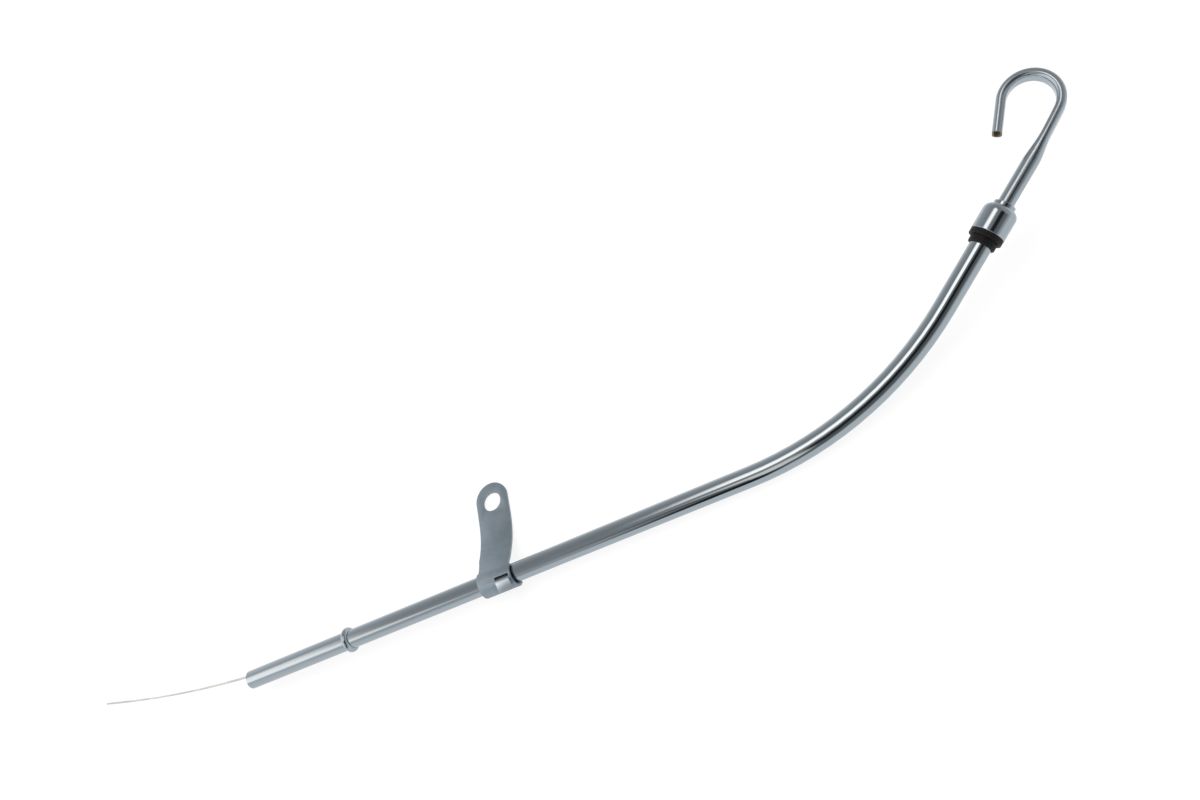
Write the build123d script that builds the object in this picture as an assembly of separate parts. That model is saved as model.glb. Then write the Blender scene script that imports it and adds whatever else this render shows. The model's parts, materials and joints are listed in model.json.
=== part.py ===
from build123d import *
import math
import os

import numpy

# Engine oil dipstick in its guide tube, lying on a floor. Millimetres and degrees.
# The pieces are drawn in the plane of the tube's bend: the tube's lower run lies along +X,
# the bend turns towards +Y, and the origin is on the tube's axis, in the middle of the bracket.

# Guide tube
TUBE_OD = 10.0
TUBE_WALL = 1.0
LOWER_RUN = 299.3
BEND_RADIUS = 176.5
BEND_ANGLE = 37.7
UPPER_RUN = 40.4
SPIGOT_LENGTH = 67.6
BEAD_OD = 13.4
BEAD_WIDTH = 3.8
BRACKET_STATION = 160.5
TUBE_CHAMFER = 0.25

# Mounting bracket: a strap that wraps the tube, with a tongue of its tail locked through a slot
SHEET = 1.2
SHEET_WIDTH = 19.0
COLLAR_GAP = 0.6
COLLAR_TOUCH = 0.05
COLLAR_LEANS_AT = 125.0
COLLAR_SHIFT = 1.3
STRAP_SHIFT = -0.35
STRAP_LENGTH = 47.0
STRAP_STRAIGHT_FROM = 12.4
STRAP_BASE_WIDTH = 17.0
STRAP_LEAVES_AT = 57.9
STRAP_ENDS_AT = 17.4
HOLE_DIAMETER = 10.5
EYE_PAST_HOLE = 1.5
TAIL_GAP = 0.25
TAIL_NARROWS_AT = 225.0
TAIL_INSET = 3.7
TONGUE_WIDTH = 7.5
TONGUE_EDGE = 1.2
TONGUE_LIFT = 0.1
TONGUE_FOLD = 0.8
TONGUE_STARTS_AT = 109.0
TONGUE_ROOT_AT = 88.0
TONGUE_FACES_AT = 104.0
TONGUE_LENGTH = 5.2
SLOT_STARTS_AT = 85.0
SLOT_SIDE = 0.2

# Handle: a round tube, flattened and bent into a hook
STEM_OD = 7.2
STEM_WALL = 0.7
STEM_LENGTH = 31.8
FLATTENING = 14.8
FLATTENING_STEPS = 6
FLAT_WIDTH = 7.7
FLAT_THICKNESS = 4.3
HOOK_LEAN = 4.4
HOOK_RISE = 11.1
HOOK_RADIUS = 12.3
HOOK_TURN = 198.4
HOOK_TAIL = 15.2

# Cap
CAP_OD = 15.4
CAP_WALL = 0.8
CAP_HEIGHT = 15.0
CAP_SHOULDER = 3.4
CAP_NECK_OD = 9.9
CAP_NECK_HEIGHT = 1.9
CAP_BELOW_MOUTH = 3.8
CAP_ROUNDING = 0.25

# Seal
SEAL_FLANGE = 2.5
SEAL_FLANGE_INSET = 0.15
SEAL_SKIRT = 3.2
SEAL_SKIRT_OD = 12.2
SEAL_ROUNDING = 0.4

# Blade
BLADE_WIDTH = 4.6
BLADE_THICKNESS = 0.9
BLADE_REACH = 104.6
BLADE_SET_IN_TUBE = 52.0
BLADE_SET_RADIUS = 655.0
BLADE_GRIP = 28.5
BLADE_TIP_RADIUS = 1.7
MARK_DIAMETER = 1.5
MARK_FROM_TIP = 13.5
MARK_SPACING = 24.0

# Fits
SEAL_SLIP = 0.1
PRESS_SLIP = 0.03
MOUTH_GAP = 0.3

# Weights for the lie of the part, in grams per cubic millimetre
STEEL = 0.00785
RUBBER = 0.0012

# Places worked out from the sizes
tube_radius = TUBE_OD / 2
bore_radius = tube_radius - TUBE_WALL
foot_x = -BRACKET_STATION
bend_x = LOWER_RUN - BRACKET_STATION
collar_in = tube_radius + COLLAR_GAP
collar_out = collar_in + SHEET
collar_mid = collar_in + SHEET / 2
stem_radius = STEM_OD / 2
cap_rim = -CAP_BELOW_MOUTH
cap_top = cap_rim + CAP_HEIGHT
cap_bore = CAP_OD / 2 - CAP_WALL
shoulder_start = cap_top - CAP_NECK_HEIGHT - CAP_SHOULDER
cavity_top = shoulder_start + CAP_WALL


def along(start, *runs):
    """A path that goes on from its first line by straight lengths and (radius, turn) arcs."""
    path = [start]
    for run in runs:
        end, heading = path[-1] @ 1, path[-1] % 1
        if isinstance(run, tuple):
            path.append(JernArc(end, heading, *run))
        else:
            path.append(Line(end, end + heading * run))
    return Wire(path)


def square_to(path, place=0.0):
    """The plane across a flat path, with its X axis square to the bend plane."""
    return Plane(origin=path @ place, x_dir=(0, 0, 1), z_dir=path % place)


def swept(section, path):
    return sweep(square_to(path) * section, path=path)


# The tube's axis, and the frame of the upper pieces: its X leads out of the tube's mouth,
# where it is 0, and its Y points to the inside of the bend
tube_axis = along(Line((foot_x, 0), (bend_x, 0)), (BEND_RADIUS, BEND_ANGLE), UPPER_RUN)
mouth = Plane(origin=tube_axis @ 1, x_dir=tube_axis % 1, z_dir=(0, 0, 1))


def circles_of(solid, radius):
    """The round edges of a turned piece that have the given radius."""
    return solid.edges().filter_by(GeomType.CIRCLE).filter_by(lambda e: math.isclose(e.radius, radius))


def bead(foot_radius):
    """The rolled bead as a bulge of the wall, standing on the given radius."""
    centre = foot_x + SPIGOT_LENGTH
    start = (centre - BEAD_WIDTH / 2, foot_radius)
    crest = (centre, foot_radius + (BEAD_OD - TUBE_OD) / 2)
    end = (centre + BEAD_WIDTH / 2, foot_radius)
    sides = Polyline(end, (end[0], 0), (start[0], 0), start)
    return revolve(make_face([ThreePointArc(start, crest, end), *sides.edges()]), axis=Axis.X)


def guide_tube():
    outside = swept(Circle(tube_radius), tube_axis) + bead(tube_radius)
    bore = swept(Circle(bore_radius), tube_axis) + bead(bore_radius)
    tube = outside - bore
    return chamfer(tube.faces().filter_by(GeomType.PLANE).edges(), TUBE_CHAMFER)


def at_angle(radius, angle):
    """A point of the bracket's section, at an angle from +Y towards +Z."""
    return (radius * math.cos(math.radians(angle)), radius * math.sin(math.radians(angle)))


def rolled_sheet(inner, outer, start, end):
    """A curved stretch of sheet about the section's origin."""
    return make_face([
        CenterArc((0, 0), inner, start, end - start),
        CenterArc((0, 0), outer, start, end - start),
        Line(at_angle(inner, start), at_angle(outer, start)),
        Line(at_angle(inner, end), at_angle(outer, end)),
    ])


def across(section, from_x, to_x):
    """A stretch of the bracket, its section carried along the tube."""
    return extrude(Plane.YZ.offset(from_x) * section, to_x - from_x)


def strap():
    """The bowed strap: it leaves the front of the collar on a tangent and ends in a flat eye."""
    half = SHEET_WIDTH / 2
    bowed_length = STRAP_LENGTH - half
    turn = STRAP_LEAVES_AT - STRAP_ENDS_AT
    bow_radius = bowed_length / math.radians(turn)
    start = 90 - STRAP_LEAVES_AT
    bow_centre = Vector(*at_angle(collar_mid + bow_radius, start))

    def on_bow(length):
        """The middle of the sheet, at a length from the collar, in the bracket's section."""
        return bow_centre - Vector(*at_angle(bow_radius, start + turn * length / bowed_length))

    hole_at = on_bow(bowed_length) + Vector(*at_angle(half, -STRAP_ENDS_AT))
    bowed = rolled_sheet(bow_radius - SHEET / 2, bow_radius + SHEET / 2, start, start + turn)
    eye_length = SHEET_WIDTH + EYE_PAST_HOLE
    flat = Pos(hole_at) * Rot(0, 0, -STRAP_ENDS_AT) * Pos(EYE_PAST_HOLE / 2, 0) * Rectangle(eye_length, SHEET)
    section = Pos(bow_centre) * Rot(0, 0, 180) * bowed + flat
    sheet = across(section, -SHEET_WIDTH, SHEET_WIDTH)

    # The strap's outline, drawn on the eye, with its Y towards the tip
    front = at_angle(1, 90 - STRAP_ENDS_AT)
    eye_face = Plane((0, hole_at.X, hole_at.Y), x_dir=(1, 0, 0), z_dir=(0, *front))

    def outline_y(length):
        point = on_bow(length)
        return eye_face.to_local_coords(Vector(0, point.X, point.Y)).Y

    straight, base = outline_y(STRAP_STRAIGHT_FROM), outline_y(-SHEET)
    blank = Polygon(
        (STRAP_SHIFT - half, EYE_PAST_HOLE),
        (STRAP_SHIFT - half, straight),
        (COLLAR_SHIFT - STRAP_BASE_WIDTH / 2, base),
        (COLLAR_SHIFT + STRAP_BASE_WIDTH / 2, base),
        (STRAP_SHIFT + half, straight),
        (STRAP_SHIFT + half, EYE_PAST_HOLE),
        align=None,
    )
    eye = Pos(STRAP_SHIFT, EYE_PAST_HOLE) * Circle(half)
    hole = Pos(STRAP_SHIFT, 0) * Circle(HOLE_DIAMETER / 2)
    return sheet & extrude(eye_face * (blank + eye - hole), STRAP_LENGTH, both=True)


def mounting_bracket():
    left = COLLAR_SHIFT - SHEET_WIDTH / 2
    right = COLLAR_SHIFT + SHEET_WIDTH / 2
    tongue_right = right - TONGUE_EDGE
    tongue_left = tongue_right - TONGUE_WIDTH
    tongue_out = collar_out + TONGUE_LIFT + SHEET

    # The collar runs from the strap round the tube, and its narrower tail stops behind the strap
    start = 90 - STRAP_LEAVES_AT
    tail = start + 360 - math.degrees(math.acos((collar_in - TAIL_GAP) / collar_out))
    collar = across(rolled_sheet(collar_in, collar_out, start, TAIL_NARROWS_AT), left, right)
    tail_section = rolled_sheet(collar_in, collar_out, TAIL_NARROWS_AT, tail)
    collar += across(tail_section, left + TAIL_INSET, right - TAIL_INSET)
    slot_foot = (TONGUE_ROOT_AT + TONGUE_STARTS_AT) / 2
    slot_section = rolled_sheet(collar_in - SHEET, tongue_out, SLOT_STARTS_AT, slot_foot)
    slot = across(slot_section, tongue_left - SLOT_SIDE, tongue_right + SLOT_SIDE)

    # The tongue rises out of the slot and is folded down, flat, before the collar's front
    outward = Vector(*at_angle(1, TONGUE_FACES_AT))
    down = Vector(*at_angle(1, TONGUE_FACES_AT + 90))
    drop = tongue_out * math.tan(math.radians(TONGUE_STARTS_AT - TONGUE_FACES_AT))
    crest = outward * tongue_out + down * drop
    root, root_foot = (at_angle(collar_in, angle) for angle in (TONGUE_ROOT_AT, TONGUE_STARTS_AT))
    rise = Polygon(root, crest, crest + down * SHEET, root_foot, align=None)
    end = crest + down * TONGUE_LENGTH
    leaf = Polygon(crest, end, end - outward * SHEET, crest - outward * SHEET, align=None)
    tongue = across(rise + leaf, tongue_left, tongue_right)
    nose = (tongue_left, crest.X, crest.Y)
    tongue = fillet(tongue.edges().filter_by(Axis.X).sort_by_distance(nose)[0], TONGUE_FOLD)

    # The collar is loose, and bears on the back of the tube
    lean = at_angle(COLLAR_GAP - COLLAR_TOUCH, COLLAR_LEANS_AT)
    return Pos(0, *lean) * (strap() + collar - slot + tongue)


def flattened(radius, width, thickness, share):
    """A section on the way from round to flat: two ends and two sides, each an arc."""
    end_length = math.pi * thickness
    end_turn = 90 * end_length / (end_length + 2 * (width - thickness))
    corner = at_angle(radius, end_turn)
    x = corner[0] + share * ((width - thickness) / 2 - corner[0])
    y = corner[1] + share * (thickness / 2 - corner[1])
    end = radius + share * (width / 2 - radius)
    side = radius + share * (thickness / 2 - radius)
    return make_face([
        ThreePointArc((x, y), (0, side), (-x, y)),
        ThreePointArc((-x, y), (-end, 0), (-x, -y)),
        ThreePointArc((-x, -y), (0, -side), (x, -y)),
        ThreePointArc((x, -y), (end, 0), (x, y)),
    ])


def handle_form(inset):
    """The handle's outside, or its hollow when inset by the wall."""
    radius = stem_radius - inset
    width, thickness = FLAT_WIDTH - 2 * inset, FLAT_THICKNESS - 2 * inset
    stem_start = MOUTH_GAP + PRESS_SLIP
    stem = Line((stem_start, 0), (stem_start + STEM_LENGTH, 0))

    # From the stem the axis leans slowly towards the hook, and the tube is flattened on the way
    lean_radius = (FLATTENING + HOOK_RISE) / math.radians(HOOK_LEAN)
    neck = JernArc(stem @ 1, stem % 1, lean_radius, math.degrees(FLATTENING / lean_radius))
    rise = JernArc(neck @ 1, neck % 1, lean_radius, math.degrees(HOOK_RISE / lean_radius))
    hook = along(rise, (HOOK_RADIUS, HOOK_TURN), HOOK_TAIL)
    sections = []
    for step in range(FLATTENING_STEPS):
        place = step / FLATTENING_STEPS
        share = place * place * (3 - 2 * place)
        sections.append(square_to(neck, place) * flattened(radius, width, thickness, share))
    flat = SlotOverall(width, thickness)
    taper = loft([*sections, square_to(neck, 1) * flat])
    return swept(flattened(radius, width, thickness, 0), stem) + taper + swept(flat, hook)


def handle():
    return mouth * (handle_form(0) - handle_form(STEM_WALL))


def cap():
    neck_radius = CAP_NECK_OD / 2
    shoulder_end = shoulder_start + CAP_SHOULDER
    bore = stem_radius + PRESS_SLIP
    shoulder = EllipticalCenterArc(
        (shoulder_start, neck_radius), CAP_SHOULDER, CAP_OD / 2 - neck_radius, start_angle=0, arc_size=90
    )
    sides = Polyline(
        (shoulder_start, CAP_OD / 2),
        (cap_rim, CAP_OD / 2),
        (cap_rim, cap_bore),
        (cavity_top, cap_bore),
        (cavity_top, bore),
        (cap_top, bore),
        (cap_top, neck_radius),
        (shoulder_end, neck_radius),
    )
    bell = revolve(make_face([shoulder, *sides.edges()]), axis=Axis.X)
    ends = bell.faces().sort_by(Axis.X)
    return mouth * fillet(ends[0].edges() + ends[-1].edges(), CAP_ROUNDING)


def seal():
    socket = tube_radius + SEAL_SLIP
    stem_bore = stem_radius + PRESS_SLIP
    body = cap_bore - PRESS_SLIP
    flange = CAP_OD / 2 - SEAL_FLANGE_INSET
    skirt = SEAL_SKIRT_OD / 2
    flange_top = cap_rim - PRESS_SLIP
    flange_foot = flange_top - SEAL_FLANGE
    skirt_foot = flange_foot - SEAL_SKIRT
    profile = Polyline(
        (skirt_foot, socket),
        (skirt_foot, skirt),
        (flange_foot, skirt),
        (flange_foot, flange),
        (flange_top, flange),
        (flange_top, body),
        (cavity_top - PRESS_SLIP, body),
        (cavity_top - PRESS_SLIP, stem_bore),
        (MOUTH_GAP, stem_bore),
        (MOUTH_GAP, socket),
        close=True,
    )
    moulding = revolve(make_face(profile), axis=Axis.X)
    lower_edges = [
        circles_of(moulding, radius).sort_by(Axis.X)[0] for radius in (skirt, flange)
    ]
    return mouth * fillet(lower_edges, SEAL_ROUNDING)


def blade():
    # From its end in the stem the blade follows the tube's axis down to where its set begins
    top = mouth.from_local_coords(Vector(BLADE_GRIP, 0))
    set_x = foot_x + BLADE_SET_IN_TUBE
    set_turn = math.degrees((BLADE_SET_IN_TUBE + BLADE_REACH) / BLADE_SET_RADIUS)
    path = along(
        Line(top, tube_axis @ 1 - (tube_axis % 1) * UPPER_RUN),
        (BEND_RADIUS, -BEND_ANGLE),
        bend_x - set_x,
        (BLADE_SET_RADIUS, -set_turn),
    )
    strip = swept(Rectangle(BLADE_WIDTH, BLADE_THICKNESS), path)
    tip = strip.faces().sort_by_distance(path @ 1)[0]
    corners = [e for e in tip.edges() if math.isclose(e.length, BLADE_THICKNESS, rel_tol=0.01)]
    strip = fillet(corners, BLADE_TIP_RADIUS)
    for from_tip in (MARK_FROM_TIP, MARK_FROM_TIP + MARK_SPACING):
        place = 1 - from_tip / path.length
        through = Plane(origin=path @ place, z_dir=(path % place).cross(Vector(0, 0, 1)))
        strip -= through * Cylinder(MARK_DIAMETER / 2, 4 * BLADE_THICKNESS)
    return strip


def settled(pieces, weights, fineness=0.05, first_step=8.0, last_step=0.001, directions=72):
    """The frame of the floor under the part, when it lies with its centre of mass lowest.

    The search starts with the bend plane level and the strap down, and tips the floor about
    X and Y in ever smaller steps, keeping each step that lowers the centre of mass.
    """
    points = numpy.array([tuple(v) for piece in pieces for v in piece.tessellate(fineness)[0]])
    masses = [piece.volume * weight for piece, weight in zip(pieces, weights)]
    centre = sum((p.center(CenterOf.MASS) * m for p, m in zip(pieces, masses)), Vector()) / sum(masses)

    def floor(tips):
        return Plane(Location((0, 0, 0), (*tips, 0)))

    def height(tips):
        up = numpy.array(tuple(floor(tips).z_dir))
        return up @ tuple(centre) - (points @ up).min()

    tips, step = (0.0, 0.0), first_step
    while step > last_step:
        around = [at_angle(step, 360 * n / directions) for n in range(directions)]
        nearby = [(tips[0] + x, tips[1] + y) for x, y in around]
        lowest = min(nearby, key=height)
        if height(lowest) < height(tips):
            tips = lowest
        else:
            step /= 2

    # The origin is under the middle of the part's outline
    level = floor(tips)
    axes = numpy.array([tuple(level.x_dir), tuple(level.y_dir), tuple(level.z_dir)])
    low, high = (points @ axes.T).min(axis=0), (points @ axes.T).max(axis=0)
    middle = level.from_local_coords(Vector(*((low + high) / 2)[:2], low[2]))
    return Plane(middle, x_dir=level.x_dir, z_dir=level.z_dir)


drawn = {
    "guide_tube": (guide_tube(), STEEL),
    "mounting_bracket": (mounting_bracket(), STEEL),
    "handle": (handle(), STEEL),
    "cap": (cap(), STEEL),
    "seal": (seal(), RUBBER),
    "blade": (blade(), STEEL),
}
floor = settled(*zip(*drawn.values()))

os.makedirs("parts", exist_ok=True)
for name, (piece, weight) in drawn.items():
    export_step(floor.to_local_coords(piece), f"parts/{name}.step")
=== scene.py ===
import json
import math

import bmesh
import bpy
from mathutils import Matrix, Vector


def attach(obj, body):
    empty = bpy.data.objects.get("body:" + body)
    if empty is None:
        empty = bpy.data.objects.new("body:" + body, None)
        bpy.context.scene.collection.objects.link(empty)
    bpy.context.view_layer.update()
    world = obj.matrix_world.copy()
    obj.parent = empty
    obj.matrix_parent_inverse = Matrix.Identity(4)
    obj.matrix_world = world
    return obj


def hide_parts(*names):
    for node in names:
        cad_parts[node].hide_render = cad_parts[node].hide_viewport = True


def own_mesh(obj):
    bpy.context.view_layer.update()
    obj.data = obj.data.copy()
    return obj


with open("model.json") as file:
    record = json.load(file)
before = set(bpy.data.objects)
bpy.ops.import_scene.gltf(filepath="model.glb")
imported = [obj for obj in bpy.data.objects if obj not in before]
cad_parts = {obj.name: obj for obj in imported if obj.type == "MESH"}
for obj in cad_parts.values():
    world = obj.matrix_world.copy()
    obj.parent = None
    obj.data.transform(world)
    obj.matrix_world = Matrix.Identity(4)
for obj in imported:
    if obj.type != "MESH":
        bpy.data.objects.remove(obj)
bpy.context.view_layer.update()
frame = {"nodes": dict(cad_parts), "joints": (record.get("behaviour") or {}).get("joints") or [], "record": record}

# Looks of an engine oil dipstick in its chromed guide tube. Metres and degrees, in the part's own frame.

# Camera: the photograph is 1200 pixels wide, and looks down on the part with the frame turned
IMAGE_WIDTH_PX = 1200
FOCAL_LENGTH_PX = 1000
SENSOR_WIDTH_MM = 36.0
NEAREST_SHOWN = 0.01
CAMERA_AT = (0.2015, -0.2642, 0.4122)
CAMERA_AIM = (0.0388, 0.0258, 0.0)
CAMERA_ROLL = -48.66

# Floor: the glow is what the camera and the chrome see of it, and the shown albedo carries the shadow
FLOOR_RADIUS = 3.0
FLOOR_SIDES = 128
FLOOR_WHITE_TO = 0.9
FLOOR_GLOW = 0.85
FLOOR_FAR_GLOW = 0.65
FLOOR_SHOWN_ALBEDO = 0.22
FLOOR_ALBEDO = 0.8

# Studio: sky radiance, and boxes and cards as (azimuth, elevation, turn, half width, half height, softness)
SKY_AT_HORIZON = 0.76
SKY_AT_ZENITH = 0.39
LEFT_WALL_FROM = 0.41
LEFT_WALL_GLOW = 0.94
BOX_COLOUR = (1.12, 1.0, 0.91, 1.0)
OVERHEAD_BOX = (146.7, 84.2, -63.3, 0.156, 0.344, 0.5)
OVERHEAD_STRENGTH = 2.15
LEFT_BOX = (-157.7, 45.5, -20.7, 0.471, 0.11, 0.54)
LEFT_STRENGTH = 1.28
NEAR_BOX = (-97.9, 41.7, 17.6, 0.087, 0.297, 0.42)
NEAR_STRENGTH = 1.17
DARK_CARD = (-72.6, 36.4, 15.6, 0.549, 0.518, 0.35)
DARK_CARD_COVER = 0.69
CORE_CARD = (-61.4, 55.2, 9.6, 0.399, 0.217, 0.21)
CORE_CARD_COVER = 0.82
LOW_CARD = (-101.2, 13.1, -7.2, 0.125, 0.294, 0.56)
LOW_CARD_COVER = 0.95
LEAST_AHEAD = 0.001
FILL_POWER = 5.0
FILL_SIZE = 1.2
FILL_AT = (-0.5, 0.4, 1.3)

# Chrome: a colour that is a little darker in its clouds, and a roughness for each piece
CHROME = (0.345, 0.398, 0.437)
CLOUDED_SHARE = 0.94
CLOUD_SCALE = 60.0
HAZE_SCALE = 400.0
HAZE_SPREAD = (0.1, 0.45)
WAVE_SCALE = 140.0
WAVE_STRENGTH = 0.02
WAVE_DEPTH = 0.0004
TUBE_ROUGHNESS = (0.05, 0.11)
HANDLE_ROUGHNESS = (0.17, 0.27)
CAP_ROUGHNESS = (0.06, 0.12)
DRAWN_GRAIN = (0.2, 1.0, 1.0)
EVEN_GRAIN = (1.0, 1.0, 1.0)

# Sawn end of the hook, and the direction of the hook's tail, turned from the pull in the plane of the bend
CUT_STEEL = (0.24, 0.22, 0.165, 1.0)
CUT_ROUGHNESS = 0.6
CUT_DEPTH = 0.0001
BORE_DEPTH = 0.012
HOOK_WALL = 0.0007
HOOK_TAIL_HEADING = 202.8

# Bracket: satin zinc, and a painted highlight on its tongue, placed by radius and height from the axis of the
# tube's lower run
DARK_ZINC = (0.252, 0.305, 0.350, 1.0)
LIGHT_ZINC = (0.285, 0.342, 0.392, 1.0)
# Painted highlight: a light zinc laid on the tongue, standing in for the light that its fold catches
PAINTED_HIGHLIGHT_ZINC = (0.70, 0.78, 0.84, 1.0)
ZINC_ROUGHNESS = (0.48, 0.56)
MOTTLE_SCALE = 130.0
ZINC_GRAIN_SCALE = 1800.0
ZINC_GRAIN_STRENGTH = 0.06
TONGUE_RADIUS = (0.0076, 0.0079)
TONGUE_TOP = -0.001
TONGUE_FOLD = -0.003
TONGUE_END = -0.0065
# Share of the tongue's painted highlight that is left at its end
HIGHLIGHT_AT_END = 0.35
BRACKET_EDGE = 0.00035
SHARP_FROM = 32.0

# Rubber
RUBBER_TONE = 0.006
DUST_TONE = 0.014
DUST_SCALE = 420.0
DUST_SPREAD = (0.45, 0.8)
PORE_SCALE = 2600.0
PORE_STRENGTH = 0.25
RUBBER_ROUGHNESS = (0.5, 0.68)
RUBBER_SHINE = 0.22

# Blade: bare strip, with the lines of its rolling drawn out along its length
BLADE_STEEL = (0.47, 0.475, 0.47, 1.0)
STAINED_STEEL = (0.38, 0.38, 0.375, 1.0)
STAIN_SCALE = 70.0
STAIN_SPREAD = (0.35, 0.7)
ROLLED_GRAIN = (0.03, 1.0, 1.0)
ROLLED_SCALE = 2200.0
ROLLED_STRENGTH = 0.1
BLADE_ROUGHNESS = (0.26, 0.4)

# All materials: the range that most of a noise lies in, and the depth of a fine grain
NOISE_SPREAD = (0.3, 0.7)
GRAIN_DEPTH = 0.0001

# Copied meshes: corners closer than the first are joined, and so are faces flatter than the second
WELD_WITHIN = 1e-7
FLAT_WITHIN = 0.5


class Shading:
    """A node tree, filled by short calls."""

    def __init__(self, tree):
        self.tree = tree
        tree.nodes.clear()

    def feed(self, socket, value):
        """Links another node's output to a socket, or sets its value."""
        if isinstance(value, bpy.types.NodeSocket):
            self.tree.links.new(value, socket)
        else:
            socket.default_value = value

    def node(self, kind, inputs=None, **settings):
        made = self.tree.nodes.new("ShaderNode" + kind)
        for name, value in settings.items():
            setattr(made, name, value)
        for name, value in (inputs or {}).items():
            self.feed(made.inputs[name], value)
        return made

    def place(self):
        return self.node("TexCoord").outputs["Object"]

    def math(self, operation, *values):
        """One number worked out from one or two others."""
        return self.node("Math", dict(enumerate(values)), operation=operation).outputs[0]

    def product(self, first, *others):
        for other in others:
            first = self.math("MULTIPLY", first, other)
        return first

    def vector(self, operation, *vectors):
        """One vector worked out from two others."""
        return self.node("VectorMath", dict(enumerate(vectors)), operation=operation).outputs["Vector"]

    def length(self, vector):
        return self.node("VectorMath", {0: vector}, operation="LENGTH").outputs["Value"]

    def dot(self, vector, direction):
        return self.node("VectorMath", {0: vector, 1: direction}, operation="DOT_PRODUCT").outputs["Value"]

    def ramp(self, value, start, end, low=0.0, high=1.0, shape="SMOOTHSTEP"):
        """A number that goes from low to high as the value goes from start to end."""
        sockets = {"Value": value, "From Min": start, "From Max": end, "To Min": low, "To Max": high}
        return self.node("MapRange", sockets, interpolation_type=shape).outputs["Result"]

    def noise(self, coordinates, scale, detail=2.0, roughness=0.5):
        sockets = {"Vector": coordinates, "Scale": scale, "Detail": detail, "Roughness": roughness}
        return self.node("TexNoise", sockets).outputs["Fac"]

    def stretched(self, coordinates, scale):
        return self.node("Mapping", {"Vector": coordinates, "Scale": scale}).outputs["Vector"]

    def mix(self, factor, first, second):
        """A colour between two others."""
        made = self.node("Mix", data_type="RGBA")
        for name, value in {"Factor": factor, "A": first, "B": second}.items():
            self.feed(next(s for s in made.inputs if s.name == name and s.enabled), value)
        return next(s for s in made.outputs if s.enabled)

    def bumps(self, height, strength, depth):
        sockets = {"Height": height, "Strength": strength, "Distance": depth}
        return self.node("Bump", sockets).outputs["Normal"]

    def surface(self, **sockets):
        """The material's surface, from its sockets by name, with an underscore for each space."""
        named = {name.replace("_", " "): value for name, value in sockets.items()}
        self.finish("OutputMaterial", self.node("BsdfPrincipled", named))

    def finish(self, kind, shader):
        self.tree.links.new(shader.outputs[0], self.node(kind).inputs["Surface"])


def new_material(name):
    material = bpy.data.materials.new(name)
    material.use_nodes = True
    return material, Shading(material.node_tree)


def grey(value):
    return (value, value, value, 1.0)


# Directions and places, from the frame


def pull_axis():
    return Vector(frame["joints"][0]["axis"])


def lower_run():
    """A point on the axis of the tube's lower run, and its direction towards the hook."""
    spigot = next(m for m in frame["record"]["mounts"] if m["name"] == "block_spigot")
    return Vector(spigot["pos_m"]), -Vector(spigot["axis"])


def bend_side(pull):
    """The direction square to the pull, in the plane of the tube's bend."""
    run = lower_run()[1]
    return tuple((run - run.dot(pull) * pull).normalized())


def span(corners, direction):
    """The middle of some corners in a direction, and half of the way that they span."""
    ways = [corner.dot(direction) for corner in corners]
    return (min(ways) + max(ways)) / 2, (max(ways) - min(ways)) / 2


# Materials


def chrome(name, roughness, grain, cut=None):
    """Bright plating: a faint cloud in its gloss and a slight waviness of the metal under it.

    Where a cut is given, as a function of the shading and the place, the bare steel there is dull.
    """
    material, shade = new_material(name)
    place = shade.place()
    cloud = shade.noise(place, CLOUD_SCALE, detail=3.0)
    haze = shade.noise(shade.stretched(place, grain), HAZE_SCALE, detail=4.0, roughness=0.6)
    gloss = shade.ramp(shade.product(cloud, haze), *HAZE_SPREAD, *roughness)
    tone = shade.mix(cloud, tuple(CLOUDED_SHARE * c for c in CHROME) + (1.0,), CHROME + (1.0,))
    metal = 1.0
    if cut:
        bare = cut(shade, place)
        tone = shade.mix(bare, tone, CUT_STEEL)
        gloss = shade.math("MAXIMUM", gloss, shade.product(bare, CUT_ROUGHNESS))
        metal = shade.math("SUBTRACT", 1.0, bare)
    waves = shade.bumps(shade.noise(place, WAVE_SCALE, detail=1.0), WAVE_STRENGTH, WAVE_DEPTH)
    shade.surface(Base_Color=tone, Metallic=metal, Roughness=gloss, Normal=waves)
    return material


def in_bore(shade, place, rim, wide, tail):
    """Whether a place is inside the wall of the flattened tube that ends in a rim."""
    thin = tail.cross(wide)
    middle_wide, half_wide = span(rim, wide)
    middle_thin, half_thin = span(rim, thin)
    off_wide = shade.math("ABSOLUTE", shade.math("SUBTRACT", shade.dot(place, wide), middle_wide))
    off_thin = shade.math("ABSOLUTE", shade.math("SUBTRACT", shade.dot(place, thin), middle_thin))
    past_flat = shade.math("MAXIMUM", shade.math("SUBTRACT", off_wide, half_wide - half_thin), 0.0)
    squares = shade.math("ADD", shade.math("POWER", past_flat, 2), shade.math("POWER", off_thin, 2))
    return shade.math("LESS_THAN", shade.math("SQRT", squares), half_thin - HOOK_WALL / 2)


def hook_end(shade, place):
    """How much a place belongs to the sawn end of the hook or to the bore behind it, from 0 to 1."""
    pull = pull_axis()
    side = -Vector(bend_side(pull))
    turn = math.radians(HOOK_TAIL_HEADING)
    tail = pull * math.cos(turn) + side * math.sin(turn)
    corners = [v.co for v in frame["nodes"]["handle"].data.vertices]
    middle = span(corners, side)[0]
    tail_half = [corner for corner in corners if corner.dot(side) > middle]
    end = max(corner.dot(tail) for corner in tail_half)
    rim = [corner for corner in tail_half if corner.dot(tail) > end - CUT_DEPTH]
    along = shade.dot(place, tail)
    cut = shade.ramp(along, end - CUT_DEPTH, end - CUT_DEPTH / 2)
    near_end = shade.ramp(along, end - BORE_DEPTH, end - BORE_DEPTH / 2)
    bore = shade.product(in_bore(shade, place, rim, pull.cross(side), tail), near_end)
    on_tail = shade.math("GREATER_THAN", shade.dot(place, side), middle)
    return shade.product(shade.math("MAXIMUM", cut, bore), on_tail)


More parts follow.
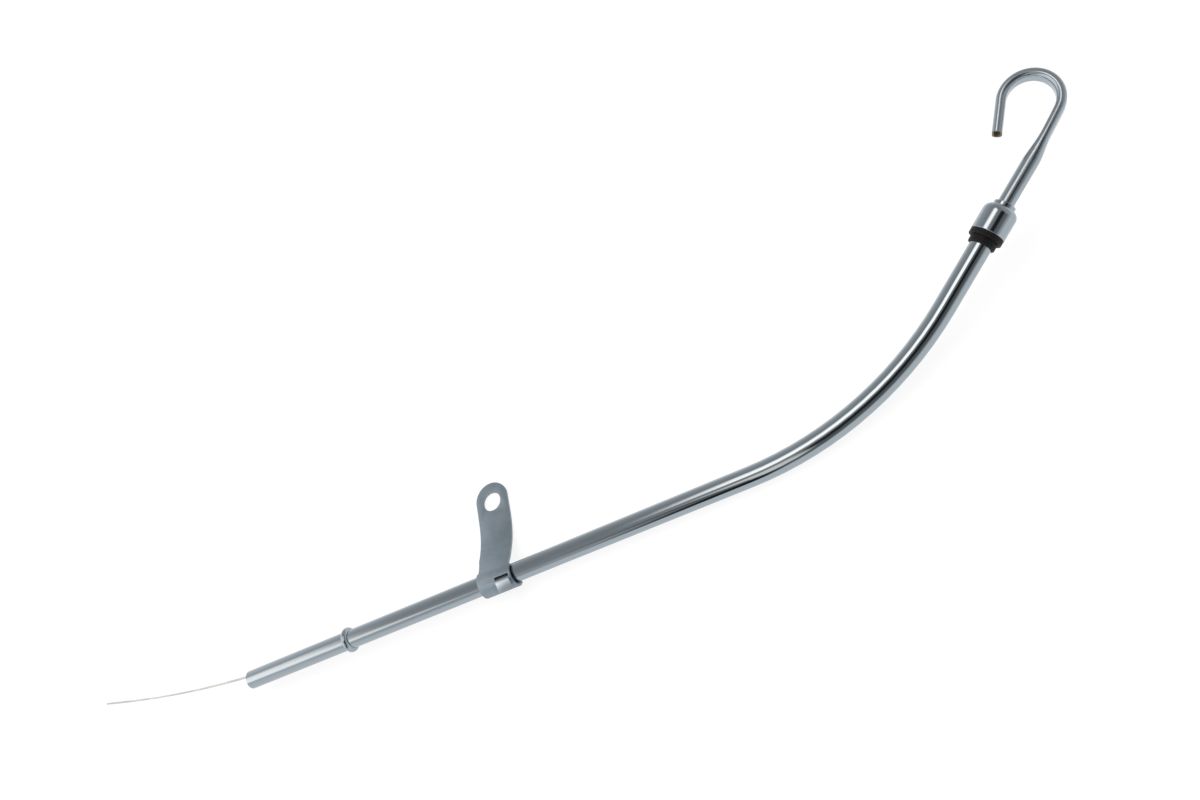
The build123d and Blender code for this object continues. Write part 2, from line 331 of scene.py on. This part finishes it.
def tongue_painted_highlight(shade, place):
    """How much painted highlight the bracket's tongue gets, where it stands proud of the collar: most on its fold.
    """
    foot, run = lower_run()
    up = run.cross(pull_axis()).normalized().cross(run)
    from_axis = shade.vector("SUBTRACT", place, foot)
    radius = shade.length(shade.vector("CROSS_PRODUCT", from_axis, run))
    height = shade.dot(from_axis, up)
    proud = shade.ramp(radius, *TONGUE_RADIUS)
    fade = shade.ramp(height, TONGUE_END, TONGUE_FOLD, low=HIGHLIGHT_AT_END)
    below_strap = shade.math("LESS_THAN", height, TONGUE_TOP)
    return shade.product(proud, fade, below_strap)


def plating(name):
    """Satin zinc on the pressed bracket, mottled and finely grained, with a painted highlight on its tongue."""
    material, shade = new_material(name)
    place = shade.place()
    mottle = shade.noise(place, MOTTLE_SCALE, detail=4.0, roughness=0.6)
    grain = shade.noise(place, ZINC_GRAIN_SCALE, detail=3.0, roughness=0.65)
    tone = shade.mix(shade.ramp(mottle, *NOISE_SPREAD), DARK_ZINC, LIGHT_ZINC)
    # Painted highlight on the tongue, lightest on its fold
    tone = shade.mix(tongue_painted_highlight(shade, place), tone, PAINTED_HIGHLIGHT_ZINC)
    gloss = shade.ramp(grain, *NOISE_SPREAD, *ZINC_ROUGHNESS)
    bumps = shade.bumps(grain, ZINC_GRAIN_STRENGTH, GRAIN_DEPTH)
    shade.surface(Base_Color=tone, Metallic=1.0, Roughness=gloss, Normal=bumps)
    return material


def rubber(name):
    """Black moulded rubber, dusty and finely pored."""
    material, shade = new_material(name)
    place = shade.place()
    dust = shade.noise(place, DUST_SCALE, detail=5.0, roughness=0.65)
    tone = shade.mix(shade.ramp(dust, *DUST_SPREAD), grey(RUBBER_TONE), grey(DUST_TONE))
    gloss = shade.ramp(dust, *NOISE_SPREAD, *RUBBER_ROUGHNESS)
    pores = shade.bumps(shade.noise(place, PORE_SCALE), PORE_STRENGTH, GRAIN_DEPTH)
    shade.surface(Base_Color=tone, Roughness=gloss, Specular_IOR_Level=RUBBER_SHINE, Normal=pores)
    return material


def spring_steel(name):
    """Bare rolled strip, with lines along its length."""
    material, shade = new_material(name)
    place = shade.place()
    lines = shade.noise(shade.stretched(place, ROLLED_GRAIN), ROLLED_SCALE, detail=3.0)
    stain = shade.noise(place, STAIN_SCALE, detail=4.0)
    tone = shade.mix(shade.ramp(stain, *STAIN_SPREAD), BLADE_STEEL, STAINED_STEEL)
    gloss = shade.ramp(lines, *NOISE_SPREAD, *BLADE_ROUGHNESS)
    bumps = shade.bumps(lines, ROLLED_STRENGTH, GRAIN_DEPTH)
    shade.surface(Base_Color=tone, Metallic=1.0, Roughness=gloss, Normal=bumps)
    return material


def dress(piece, material):
    piece.data.materials.clear()
    piece.data.materials.append(material)


# Pieces


def copied(node, name):
    """A new mesh piece with the form of a CAD node, welded and free of its stored normals."""
    mesh = bpy.data.meshes.new(name)
    work = bmesh.new()
    work.from_mesh(frame["nodes"][node].data)
    bmesh.ops.remove_doubles(work, verts=work.verts, dist=WELD_WITHIN)
    flat = math.radians(FLAT_WITHIN)
    bmesh.ops.dissolve_limit(work, angle_limit=flat, verts=work.verts, edges=work.edges)
    work.to_mesh(mesh)
    work.free()
    piece = bpy.data.objects.new(name, mesh)
    bpy.context.scene.collection.objects.link(piece)
    return piece


def rounded(piece, width):
    """Rounds the sharp edges and shades the rest smooth."""
    piece.data.shade_smooth()
    bevel = piece.modifiers.new("edges", "BEVEL")
    bevel.width = width
    bevel.segments = 2
    bevel.limit_method = "ANGLE"
    bevel.angle_limit = math.radians(SHARP_FROM)
    bevel.harden_normals = True
    bevel.use_clamp_overlap = True


def blade():
    """The blade, copied from the CAD in spring steel and carried by the dipstick; it keeps the CAD's form and
    doesn't straighten as it is drawn out.
    """
    pull = pull_axis()
    piece = copied("blade", "dipstick_blade")
    dress(piece, spring_steel("blade_steel"))
    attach(piece, "dipstick")
    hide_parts("blade")
    bend_side(pull)
    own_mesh(piece)


def bracket():
    piece = copied("mounting_bracket", "tube_bracket")
    rounded(piece, BRACKET_EDGE)
    dress(piece, plating("bracket_plating"))
    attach(piece, "tube")
    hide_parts("mounting_bracket")


def plated_pieces():
    """The CAD's own pieces, in chrome and rubber."""
    nodes = frame["nodes"]
    dress(nodes["guide_tube"], chrome("tube_chrome", TUBE_ROUGHNESS, DRAWN_GRAIN))
    dress(nodes["handle"], chrome("handle_chrome", HANDLE_ROUGHNESS, EVEN_GRAIN, hook_end))
    dress(nodes["cap"], chrome("cap_chrome", CAP_ROUGHNESS, EVEN_GRAIN))
    dress(nodes["seal"], rubber("seal_rubber"))


# Stage


def floor():
    """A white floor that keeps the part's soft shadow and fades to the grey of the studio far away."""
    bpy.ops.mesh.primitive_circle_add(vertices=FLOOR_SIDES, radius=FLOOR_RADIUS, fill_type="NGON")
    disc = bpy.context.object
    disc.name = "floor"
    material, shade = new_material("floor_white")
    ray = shade.node("LightPath").outputs
    shown = shade.math("ADD", ray["Is Camera Ray"], ray["Is Glossy Ray"])
    shown = shade.math("MINIMUM", shade.math("ADD", shown, ray["Is Transmission Ray"]), 1.0)
    away = shade.length(shade.place())
    glow = shade.ramp(away, FLOOR_WHITE_TO, FLOOR_RADIUS, FLOOR_GLOW, FLOOR_FAR_GLOW)
    light = shade.node("Emission", {"Color": grey(1.0), "Strength": glow})
    shadow = shade.node("BsdfDiffuse", {"Color": grey(FLOOR_SHOWN_ALBEDO)})
    white = shade.node("AddShader", {0: light.outputs[0], 1: shadow.outputs[0]})
    plain = shade.node("BsdfDiffuse", {"Color": grey(FLOOR_ALBEDO)})
    either = shade.node("MixShader", {"Fac": shown, 1: plain.outputs[0], 2: white.outputs[0]})
    shade.finish("OutputMaterial", either)
    disc.data.materials.append(material)


def towards(azimuth, elevation):
    a, e = math.radians(azimuth), math.radians(elevation)
    return Vector((math.cos(a) * math.cos(e), math.sin(a) * math.cos(e), math.sin(e)))


def soft_box(shade, ray, azimuth, elevation, turn, half_width, half_height, softness):
    """How much of a soft-edged rectangle lies in the ray's direction, from 0 to 1."""
    facing = towards(azimuth, elevation)
    level = Vector((0, 0, 1)).cross(facing).normalized()
    spin = Matrix.Rotation(math.radians(turn), 3, facing)
    share = 1.0
    ahead = shade.math("MAXIMUM", shade.dot(ray, facing), LEAST_AHEAD)
    for side, half in ((level, half_width), (facing.cross(level), half_height)):
        across = shade.math("ABSOLUTE", shade.math("DIVIDE", shade.dot(ray, spin @ side), ahead))
        edge = shade.ramp(across, half * (1 - softness), half * (1 + softness), 1.0, 0.0)
        share = shade.product(share, edge)
    return share


def studio():
    """A grey room, brighter to the left, with warm soft boxes, and dark cards on the camera's side."""
    world = bpy.data.worlds.new("studio")
    bpy.context.scene.world = world
    world.use_nodes = True
    shade = Shading(world.node_tree)
    ray = shade.node("TexCoord").outputs["Generated"]
    height = shade.dot(ray, (0, 0, 1))
    sky = shade.ramp(height, 0.0, 1.0, SKY_AT_HORIZON, SKY_AT_ZENITH, shape="LINEAR")
    left = shade.ramp(shade.dot(ray, (-1, 0, 0)), LEFT_WALL_FROM, 1.0, 0.0, LEFT_WALL_GLOW)
    sky = shade.math("ADD", sky, left)
    cards = ((DARK_CARD, DARK_CARD_COVER), (CORE_CARD, CORE_CARD_COVER), (LOW_CARD, LOW_CARD_COVER))
    for card, cover in cards:
        hidden = shade.product(soft_box(shade, ray, *card), cover)
        sky = shade.product(sky, shade.math("SUBTRACT", 1.0, hidden))
    glow = 0.0
    lamps = ((OVERHEAD_BOX, OVERHEAD_STRENGTH), (LEFT_BOX, LEFT_STRENGTH), (NEAR_BOX, NEAR_STRENGTH))
    for box, strength in lamps:
        glow = shade.math("ADD", glow, shade.product(soft_box(shade, ray, *box), strength))
    room = shade.node("Background", {"Color": grey(1.0), "Strength": sky})
    lit = shade.node("Background", {"Color": BOX_COLOUR, "Strength": glow})
    shade.finish("OutputWorld", shade.node("AddShader", {0: room.outputs[0], 1: lit.outputs[0]}))


def fill_light():
    """A large soft lamp that shapes the dull surfaces and the shadow, and isn't mirrored in the chrome."""
    lamp = bpy.data.lights.new("fill", "AREA")
    lamp.energy = FILL_POWER
    lamp.size = FILL_SIZE
    holder = bpy.data.objects.new("fill", lamp)
    bpy.context.scene.collection.objects.link(holder)
    holder.location = FILL_AT
    holder.rotation_euler = (-Vector(FILL_AT)).to_track_quat("-Z", "Y").to_euler()
    holder.visible_glossy = False


def camera():
    lens = bpy.data.cameras.new("camera")
    lens.sensor_width = SENSOR_WIDTH_MM
    lens.lens = SENSOR_WIDTH_MM * FOCAL_LENGTH_PX / IMAGE_WIDTH_PX
    lens.clip_start = NEAREST_SHOWN
    holder = bpy.data.objects.new("camera", lens)
    bpy.context.scene.collection.objects.link(holder)
    aim = (Vector(CAMERA_AIM) - Vector(CAMERA_AT)).to_track_quat("-Z", "Y").to_matrix().to_4x4()
    roll = Matrix.Rotation(math.radians(CAMERA_ROLL), 4, "Z")
    holder.matrix_world = Matrix.Translation(CAMERA_AT) @ aim @ roll
    bpy.context.scene.camera = holder


def main():
    bpy.context.scene.view_settings.view_transform = "Standard"
    plated_pieces()
    bracket()
    blade()
    floor()
    studio()
    fill_light()
    camera()


main()
